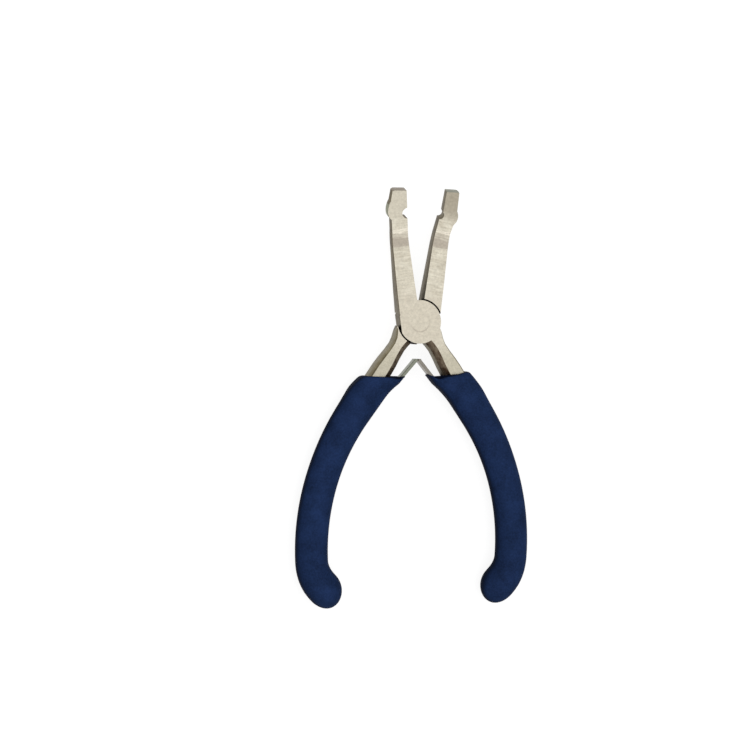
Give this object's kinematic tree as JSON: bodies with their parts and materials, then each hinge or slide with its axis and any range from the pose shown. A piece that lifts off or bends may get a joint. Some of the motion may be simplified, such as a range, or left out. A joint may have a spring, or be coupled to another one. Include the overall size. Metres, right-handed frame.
{
  "type": "bail making pliers",
  "caption": "Small lap-joint pliers with flat bent-nose jaws notched to close on a round hole, leaf springs that push the handles open, and soft vinyl grips.",
  "frame": {"origin": "on the pivot axis, at the back face of the joint", "axes": "+Y along the closed jaws from the joint to the nose, +Z along the pivot axis towards the side that the nose is bent to, +X to the right of someone who looks at that side with the nose up"},
  "size_m": [0.0712, 0.1238, 0.0122],
  "materials": {
    "satin_nickel_steel": "ground across and satin nickel plated",
    "spring_steel": "rolled spring steel strip",
    "navy_vinyl": "moulded soft vinyl with a fine grain"
  },
  "bodies": {
    "front_half": {"front_lever": "satin_nickel_steel", "pivot_rivet": "satin_nickel_steel", "leaf_spring_right": "spring_steel", "spring_rivet_right": "spring_steel", "grip_right": "navy_vinyl"},
    "rear_half": {"rear_lever": "satin_nickel_steel", "leaf_spring_left": "spring_steel", "spring_rivet_left": "spring_steel", "grip_left": "navy_vinyl"}
  },
  "joints": [
    {"name": "jaw_pivot", "type": "hinge", "parent": "front_half", "child": "rear_half", "pos_m": [0, 0, 0.003], "axis": [0, 0, -1], "range_deg": [-18, 10], "stiffness_Nm_per_rad": 0.5, "deforming": ["leaf_spring_left", "leaf_spring_right"]}
  ]
}
